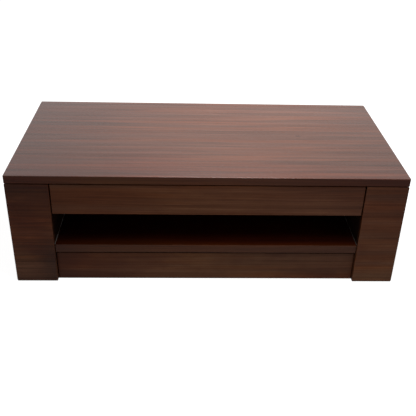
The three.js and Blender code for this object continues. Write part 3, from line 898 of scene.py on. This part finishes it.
@dataclass
class Studio:
    """A white sweep of floor under soft lamps, and the camera."""

    camera_place: Point = (-77.418 * MM, -1996.819 * MM, 1253.308 * MM)
    yaw: float = 2.573
    pitch: float = 30.020
    roll: float = 1.682
    lens: float = 56.438
    sensor: float = 36.0
    ambient: float = 0.12
    lamps: tuple[Lamp, ...] = (
        Lamp("over_lamp", (0.10, 0.46, 1.32), (0.10, 0.34, 0.0), 0.70, 11.5),
        Lamp("front_lamp", (0.32, -0.75, 1.35), (0.25, -0.45, 0.0), 0.50, 6.0),
    )
    floor_radius: float = 14.0
    floor_sides: int = 96
    floor_colour: Colour = (0.70, 0.70, 0.70)
    floor_glow: Pair = (0.93, 1.0)  # how white the floor is seen near the table and far off
    glow_range: Pair = (0.8, 3.0)  # how far from its middle near ends and far off starts
    contact: float = 2.0 * MM  # how softly the floor darkens under the table

    def build(self) -> None:
        """Makes the world, the lamps, the floor and the camera."""
        self._world()
        for lamp in self.lamps:
            lamp.build()
        self._floor()
        self._camera()

    @staticmethod
    def _seen(tree: bpy.types.NodeTree) -> Socket:
        """Tells the rays that show the background: straight, in a gloss or through glass.

        Args:
            tree: the world's or the floor's nodes.

        Returns:
            1 for such a ray, and 0 for the others.
        """
        rays = tree.nodes.new("ShaderNodeLightPath").outputs
        seen = rays["Is Camera Ray"]
        for name in ("Is Glossy Ray", "Is Transmission Ray"):
            either = tree.nodes.new("ShaderNodeMath")
            either.operation = "MAXIMUM"
            tree.links.new(seen, either.inputs[0])
            tree.links.new(rays[name], either.inputs[1])
            seen = either.outputs[0]
        return seen

    def _world(self) -> None:
        """A white backdrop to the eye, and a plain ambient light to the table."""
        world = bpy.data.worlds.new("studio")
        bpy.context.scene.world = world
        world.use_nodes = True
        tree = world.node_tree
        level = tree.nodes.new("ShaderNodeMapRange")
        level.inputs[3].default_value = self.ambient
        tree.links.new(self._seen(tree), level.inputs[0])
        background = tree.nodes["Background"]
        background.inputs[0].default_value = opaque(PLAIN)
        tree.links.new(level.outputs[0], background.inputs[1])

    def _floor(self) -> None:
        """The floor: pale, and lifted to white where it is seen, so that only the shadow shows."""
        bm = bmesh.new()
        bmesh.ops.create_circle(bm, cap_ends=True, segments=self.floor_sides, radius=self.floor_radius)
        mesh = bpy.data.meshes.new("floor")
        bm.to_mesh(mesh)
        bm.free()
        mix = Recipe("floor")
        place = mix.place()
        glow = mix.ranged(mix.measure("LENGTH", place), *self.glow_range, *self.floor_glow)
        for low, high in self._footprints():
            off = mix.vector("ABSOLUTE", mix.vector("SUBTRACT", place, (low + high) / 2))
            beyond = mix.parts(mix.vector("SUBTRACT", off, (high - low) / 2))
            nearest = mix.maths("MAXIMUM", beyond[0], beyond[1])
            glow = mix.maths("MULTIPLY", glow, mix.ranged(nearest, -self.contact, 0.0))
        diffuse = mix.node("BsdfDiffuse", {"Color": opaque(self.floor_colour)})
        shine = mix.node("Emission", {1: mix.maths("MULTIPLY", glow, self._seen(mix.tree))})
        both = mix.node("AddShader", {0: diffuse.outputs[0], 1: shine.outputs[0]})
        mix.node("OutputMaterial", {"Surface": both.outputs[0]})
        mesh.materials.append(mix.material)
        placed("floor", mesh)

    def _footprints(self) -> list[tuple[Vector, Vector]]:
        """Finds what the table hides the floor with: each leg, and what stands between them.

        Returns:
            The lowest and the highest corner of each box.
        """
        left, right = ((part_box(f"{side.label}_leg_front")[0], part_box(f"{side.label}_leg_rear")[1])
                       for side in Side)
        plinth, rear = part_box("front_plinth")[0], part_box("rear_panel")[1]
        under = 2 * self.contact
        return [left, right, (Vector((left[1].x - under, plinth.y, 0.0)),
                              Vector((right[0].x + under, rear.y, 0.0)))]

    def _camera(self) -> None:
        """The camera, in front and a little to the left, looking down at the table."""
        yaw, pitch, roll = (math.radians(angle) for angle in (self.yaw, self.pitch, self.roll))
        forward = Vector((math.sin(yaw) * math.cos(pitch), math.cos(yaw) * math.cos(pitch),
                          -math.sin(pitch)))
        level = Vector((math.cos(yaw), -math.sin(yaw), 0.0))
        over = level.cross(forward)
        right = level * math.cos(roll) + over * math.sin(roll)
        up = over * math.cos(roll) - level * math.sin(roll)
        data = bpy.data.cameras.new("camera")
        data.lens, data.sensor_width = self.lens, self.sensor
        camera = placed("camera", data)
        turn = Matrix((right, up, -forward)).transposed().to_4x4()
        camera.matrix_world = Matrix.Translation(self.camera_place) @ turn
        bpy.context.scene.camera = camera
        bpy.context.scene.view_settings.view_transform = "Standard"


@dataclass
class Boards:
    """The wooden boards: each packed board gets veneer of its own cut."""

    nodes: dict[str, bpy.types.Object]
    lengthwise: tuple[str, ...] = ("lift_top", "front_apron", "rear_panel", "box_floor", "shelf",
                                   "front_plinth")

    def build(self) -> None:
        """Lays the veneer on every board."""
        for board, grain in self._grains().items():
            # The inner skins and the box floor take the near-black veneer that paints the bay's shade.
            dark = board.endswith("_inner") or board == "box_floor"
            veneer = BAY_SHADE_VENEER if dark else OWN_VENEERS.get(board, FRAME)
            dress(self.nodes[board], veneer.on(board, grain))

    def _grains(self) -> dict[str, Grain]:
        """Chooses the way of the grain.

        Returns:
            The grain of every board, by its name.
        """
        found = {board: Grain.LENGTH for board in self.lengthwise}
        found["shelf_bearer"] = Grain.DEPTH
        for side in Side:
            for part in ("front", "rear"):
                found[f"{side.label}_leg_{part}"] = Grain.LENGTH
            for part in ("outer", "inner", "top_cap", "bottom_cap"):
                found[f"{side.label}_leg_{part}"] = Grain.DEPTH
        return found


@dataclass
class Fittings:
    """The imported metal, rubber and plastic nodes, in their finishes."""

    nodes: dict[str, bpy.types.Object]
    black: bpy.types.Material
    zinc: bpy.types.Material
    rubber: bpy.types.Material
    plastic: bpy.types.Material
    ease: float = 0.25 * MM  # how wide the edges are broken
    facets: int = 2  # of a broken edge
    crease: float = 34.0  # edges sharper than this many degrees are edges, and not round stretches
    weld: float = 0.001 * MM

    def build(self) -> None:
        """Dresses every fitting by its name, rounds its shading and breaks its edges."""
        shading = self._shading()
        endings = {"_rail": self.black, "_arm": self.black, "_bar": self.black, "_pin": self.zinc,
                   "_post": self.zinc, "_stud": self.zinc, "_bumper": self.rubber,
                   "_glide": self.plastic}
        for name, node in self.nodes.items():
            for ending, material in endings.items():
                if name.endswith(ending):
                    dress(node, material)
                    self._finish(node, shading)

    def _finish(self, node: bpy.types.Object, shading: bpy.types.NodeTree) -> None:
        """Rounds the shading of a node's curved stretches and breaks its edges, by modifiers.

        Args:
            node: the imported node.
            shading: the nodes that round its shading.
        """
        node.modifiers.new("shading", "NODES").node_group = shading
        bevel = node.modifiers.new("edges", "BEVEL")
        bevel.width, bevel.segments, bevel.limit_method = self.ease, self.facets, "ANGLE"
        bevel.angle_limit = math.radians(self.crease)
        node.modifiers.new("normals", "WEIGHTED_NORMAL").keep_sharp = True

    def _shading(self) -> bpy.types.NodeTree:
        """Makes the nodes that weld a mesh and smooth it, apart from its sharp edges.

        Returns:
            The nodes, for a modifier.
        """
        tree = bpy.data.node_groups.new("rounded_shading", "GeometryNodeTree")
        for way in ("INPUT", "OUTPUT"):
            tree.interface.new_socket("Geometry", in_out=way, socket_type="NodeSocketGeometry")
        chain = [tree.nodes.new(kind) for kind in (
            "NodeGroupInput", "GeometryNodeMergeByDistance", "GeometryNodeRemoveAttribute",
            "GeometryNodeSetShadeSmooth", "GeometryNodeSetShadeSmooth", "NodeGroupOutput")]
        for first, second in zip(chain, chain[1:]):
            tree.links.new(first.outputs[0], second.inputs[0])
        weld, plain, _, creases = chain[1:5]
        weld.inputs["Distance"].default_value = self.weld
        plain.inputs["Name"].default_value = "custom_normal"
        creases.domain = "EDGE"
        creases.inputs["Shade Smooth"].default_value = False
        over = tree.nodes.new("FunctionNodeCompare")
        over.operation = "GREATER_THAN"
        over.inputs[1].default_value = math.radians(self.crease)
        angle = tree.nodes.new("GeometryNodeInputMeshEdgeAngle")
        tree.links.new(angle.outputs[0], over.inputs[0])
        tree.links.new(over.outputs[0], creases.inputs["Selection"])
        return tree


@dataclass
class EdgeBand:
    """The band of veneer that is glued round the four edges of the top."""

    veneer: Veneer
    thick: float = 0.4 * MM
    proud: float = 0.25 * MM
    inset: float = 1.7 * MM  # from the face of the top to the band's own edge
    drop: float = 0.2 * MM  # from the underside of the top to the band's lower edge
    corner: float = 3.0 * MM
    bends: int = 6  # facets of a corner

    def build(self) -> None:
        """Bends the band round the top, as a thin closed ring."""
        low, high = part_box("lift_top")
        low.z, high.z = low.z + self.drop, high.z - self.inset
        size = high - low + Vector((2 * self.proud, 2 * self.proud, 0.0))
        blank = Shape().block(size, Matrix()).bm
        upright = [edge for edge in blank.edges
                   if abs(edge.verts[0].co.z - edge.verts[1].co.z) > self.corner]
        bmesh.ops.bevel(blank, geom=upright, offset=self.corner + self.proud, offset_type="OFFSET",
                        segments=self.bends, profile=0.5, affect="EDGES", material=-1)
        lids = [face for face in blank.faces if abs(face.normal.z) > 0.5]
        bmesh.ops.delete(blank, geom=lids, context="FACES")
        bmesh.ops.recalc_face_normals(blank, faces=blank.faces)
        if sum(face.normal.dot(face.calc_center_median()) for face in blank.faces) < 0:
            bmesh.ops.reverse_faces(blank, faces=blank.faces)
        bmesh.ops.solidify(blank, geom=blank.faces, thickness=self.thick)
        shape = Shape().stamp(blank, Matrix.Translation((low + high) / 2))
        blank.free()
        material = self.veneer.on("lift_top", Grain.LENGTH)
        shape.piece("top_edge_band", material, Body.RAISED_TOP, Slot.TOP)


@dataclass
class Spring:
    """A tension spring of drawn wire, hooked over its post and its stud."""

    side: Side
    material: bpy.types.Material
    wire: float = 1.5 * MM
    facets: int = 3  # of a quarter of the wire's section
    coil: float = 7.5 * MM
    turns: int = 22
    lead: float = 14.0 * MM
    hook: float = 4.4 * MM
    hook_reach: float = 5.3 * MM  # along the spring, so that the hook clears its stud when it draws in
    mouth: float = 75.0
    steps: int = 30
    lowered: float = 173.8 * MM  # from its post to its stud, with the top down
    raised: float = 126.2 * MM  # the same, with the top raised
    crease: float = 60.0

    def build(self) -> None:
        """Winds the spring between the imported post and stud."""
        spring = f"{self.side.label}_spring"
        line = centre(spring).x
        ends = (centre(f"{spring}_{end}") for end in ("post", "stud"))
        near, far = (Vector((line, end.y, end.z)) for end in ends)
        curve = bpy.data.curves.new("wire", "CURVE")
        curve.dimensions = "3D"
        curve.bevel_depth, curve.bevel_resolution = self.wire, self.facets
        curve.use_fill_caps = True
        points = self._route(near, far)
        strand = curve.splines.new("POLY")
        strand.points.add(len(points) - 1)
        for knot, point in zip(strand.points, points):
            knot.co = (*point, 1.0)
        shape = Shape()
        shape.take(placed("wire", curve))
        made = shape.piece(f"{spring}_wire", self.material, Body.CARCASS, Slot.SPRING, self.crease)
        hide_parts(spring)
        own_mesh(made)

    def _route(self, near: Vector, far: Vector) -> list[Vector]:
        """Lays out the wire: a hook, a lead, the turns, and the same again at the other end.

        Args:
            near: the middle of the post.
            far: the middle of the stud.

        Returns:
            The points of the wire's line.
        """
        start, end = near.y + self.lead, far.y - self.lead
        count = self.turns * self.steps
        turns = []
        for i in range(count + 1):
            angle = math.tau * self.turns * i / count
            turns.append(Vector((near.x + self.coil * math.sin(angle),
                                 start + (end - start) * i / count,
                                 near.z + self.coil * math.cos(angle))))
        return [*self._hook(near, 1), *turns, *reversed(self._hook(far, -1))]

    def _hook(self, middle: Vector, way: int) -> list[Vector]:
        """Lays out a hook.

        Args:
            middle: the middle of what it holds.
            way: 1 if the spring is on its +Y side, and -1 if not.

        Returns:
            The points of the wire's line, towards the spring.
        """
        sweep = 360 - 2 * self.mouth
        angles = [math.radians(-self.mouth - sweep * i / self.steps) for i in range(self.steps + 1)]
        return [middle + Vector((0.0, way * self.hook_reach * math.cos(angle),
                                 self.hook * math.sin(angle))) for angle in angles]


@dataclass
class Screws:
    """Pan head screws with a cross recess, and their washers, in the slots of a rail's flange."""

    side: Side
    material: bpy.types.Material
    from_side: float = 18.25 * MM  # from the rail's outer side to its slots
    from_end: float = 16.0 * MM
    flange: float = 2.5 * MM
    washer: float = 5.0 * MM
    washer_thick: float = 0.8 * MM
    washer_side: float = 0.7  # share of its thickness that is upright
    washer_chamfer: float = 0.2 * MM
    head: float = 4.2 * MM
    head_thick: float = 2.4 * MM
    # The head's rounding: shares of its radius, and how far below its crown.
    dome: tuple[Pair, ...] = ((1.0, 1.6 * MM), (0.9, 0.9 * MM), (0.66, 0.35 * MM), (0.36, 0.06 * MM))
    shank: float = 1.9 * MM
    depth: float = 9.0 * MM
    # The point: shares of the shank's radius, and how far above the tip.
    point: tuple[Pair, ...] = ((0.0, 0.0), (0.3, 1.5 * MM), (1.0, 4.0 * MM))
    recess: Point = (4.83 * MM, 0.9 * MM, 2.6 * MM)
    steps: int = 36

    def build(self) -> None:
        """Screws the base rail to the box floor and the top rail to the top."""
        pattern = self._screw()
        for rail, body, way in (("base_rail", Body.CARCASS, 1), ("top_rail", Body.RAISED_TOP, -1)):
            low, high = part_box(f"{self.side.label}_{rail}")
            x = self.side.value * (max(abs(low.x), abs(high.x)) - self.from_side)
            seat = low.z + self.flange if way > 0 else high.z - self.flange
            shape = Shape()
            for y in (low.y + self.from_end, (low.y + high.y) / 2, high.y - self.from_end):
                shape.stamp(pattern.bm, facing((x, y, seat), (0, 0, way)))
            shape.piece(f"{self.side.label}_{rail}_screws", self.material, body, Slot.ZINC)
        pattern.bm.free()

    def _screw(self) -> Shape:
        """Turns one screw with its washer, and cuts its recess.

        Returns:
            The screw, seated on z = 0.
        """
        rise = self.washer_thick
        top = rise + self.head_thick
        profile = [*((self.shank * share, up - self.depth) for share, up in self.point),
                   (self.shank, 0), (self.washer, 0), (self.washer, rise * self.washer_side),
                   (self.washer - self.washer_chamfer, rise), (self.head, rise),
                   *((self.head * share, top - down) for share, down in self.dome), (0, top)]
        screw = Shape().turned(profile, Matrix(), self.steps)
        for angle in (0.0, math.pi / 2):
            place = Matrix.Translation((0, 0, top)) @ Matrix.Rotation(angle, 4, "Z")
            screw.carved(Shape().block(self.recess, place))
        return screw


@dataclass
class BarWelds:
    """The welds that hold the cross bar in the two rear arms."""

    material: bpy.types.Material
    leg: float = 2.4 * MM
    sunk: float = 0.2 * MM  # how far the bead goes into the arm and into the bar
    bulge: tuple[Pair, ...] = ((1.0, 0.0), (0.75, 0.45), (0.4, 0.8))  # its outline, in legs
    ripples: int = 44
    ripple_steps: int = 3
    swell: float = 0.035  # how much a ripple is raised

    def build(self) -> None:
        """Lays a rippled bead round each end of the bar."""
        low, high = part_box("cross_bar")
        middle = centre("cross_bar")
        radius = (high.z - low.z) / 2
        inner = radius - self.sunk
        bulge = [(radius + self.leg * out, self.leg * up) for out, up in self.bulge]
        profile = [(inner, 0.0), *bulge, (inner, self.leg), (inner, 0.0)]
        shape = Shape()
        for side in Side:
            face = side.value * ((high.x - low.x) / 2 + self.sunk)
            place = along_x((face, middle.y, middle.z), -side.value)
            shape.turned(profile, place, self.ripples * self.ripple_steps)
        for vert in shape.bm.verts:
            out = Vector((vert.co.y - middle.y, vert.co.z - middle.z))
            if out.length > radius:
                swell = 1 + self.swell * math.sin(self.ripples * math.atan2(out.y, out.x))
                vert.co.y, vert.co.z = middle.y + out.x * swell, middle.z + out.y * swell
        shape.piece("cross_bar_welds", self.material, Body.REAR_ARMS, Slot.BLACK_STEEL)


@dataclass
class CamCovers:
    """The plastic covers over the cam locks that pull the apron and the rear panel to the legs."""

    material: bpy.types.Material
    radius: float = 8.5 * MM
    thick: float = 1.2 * MM
    # The rim: how far in from the edge, and shares of the thickness.
    rim: tuple[Pair, ...] = ((0.0, 0.0), (0.0, 0.6), (0.3 * MM, 1.0), (1.6 * MM, 1.0), (2.0 * MM, 0.7))
    slot: Point = (7.0 * MM, 1.2 * MM, 1.0 * MM)
    slot_at: float = 0.8  # the middle of the slot's height, as a share of the thickness
    steps: int = 40
    from_end: float = 34.0 * MM
    heights: Pair = (0.284, 0.322)

    def build(self) -> None:
        """Presses the covers into the inner faces of the storage box."""
        rim = [(self.radius - inward, self.thick * up) for inward, up in self.rim]
        cover = Shape().turned([(0, 0), *rim, (0, rim[-1][1])], Matrix(), self.steps)
        slot = Matrix.Translation((0, 0, self.thick * self.slot_at))
        cover.carved(Shape().block(self.slot, slot))
        for board, way in (("front_apron", 1), ("rear_panel", -1)):
            low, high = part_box(board)
            face = high.y if way > 0 else low.y
            shape = Shape()
            for side in Side:
                for height in self.heights:
                    place = (side.value * (high.x - self.from_end), face, height)
                    shape.stamp(cover.bm, facing(place, (0, way, 0)))
            shape.piece(f"{board}_cam_covers", self.material, Body.CARCASS, Slot.PLASTIC)
        cover.bm.free()


@dataclass
class ShelfFiller:
    """The thin bead of filler in the corner between one end of the shelf and its leg."""

    side: Side
    material: bpy.types.Material
    radius: float
    inset: float = 1.0 * MM  # from the shelf's edges to the ends of the bead
    out: float = 0.3  # how far out of the leg its middle lies, in radii
    swell: float = 0.12  # how much thicker or thinner it gets
    swells: int = 90  # how often it does
    steps: int = 12

    def build(self) -> None:
        """Draws the bead along the end of the shelf."""
        low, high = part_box("shelf")
        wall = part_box(f"{self.side.label}_leg_inner")[0 if self.side is Side.RIGHT else 1].x
        length = high.y - low.y - 2 * self.inset
        dice = random.Random(f"{self.side.label} filler")
        swells = [self.radius * dice.uniform(1 - self.swell, 1 + self.swell) for _ in range(self.swells)]
        bead = [(swell, length * (i + 0.5) / self.swells) for i, swell in enumerate(swells)]
        place = facing((wall - self.side.value * self.out * self.radius, low.y + self.inset, high.z),
                       (0, 1, 0))
        shape = Shape().turned([(0.0, 0.0), *bead, (0.0, length)], place, self.steps)
        shape.piece(f"{self.side.label}_shelf_filler", self.material, Body.CARCASS)


def main() -> None:
    """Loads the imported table, dresses it, adds its small hardware and sets it in the studio."""
    logging.basicConfig(level=logging.INFO, format="%(message)s")
    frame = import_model()
    Studio().build()
    black = PowderCoat().made("black_powder_coat")
    zinc = ZINC.made("bright_zinc")
    drawn = DRAWN_WIRE.made("drawn_wire")
    rubber = RUBBER.made("soft_rubber")
    plastic = PLASTIC.made("brown_moulding")
    Boards(frame["nodes"]).build()
    EdgeBand(BAND).build()
    Fittings(frame["nodes"], black, zinc, rubber, plastic).build()
    for side in Side:
        Spring(side, drawn).build()
        Screws(side, zinc).build()
    BarWelds(black).build()
    CamCovers(plastic).build()
    ShelfFiller(Side.LEFT, PALE_FILLER.made("pale_filler"), radius=0.9 * MM).build()
    ShelfFiller(Side.RIGHT, BROKEN_FILLER.made("broken_filler"), radius=0.6 * MM).build()


if __name__ == "__main__":
    main()
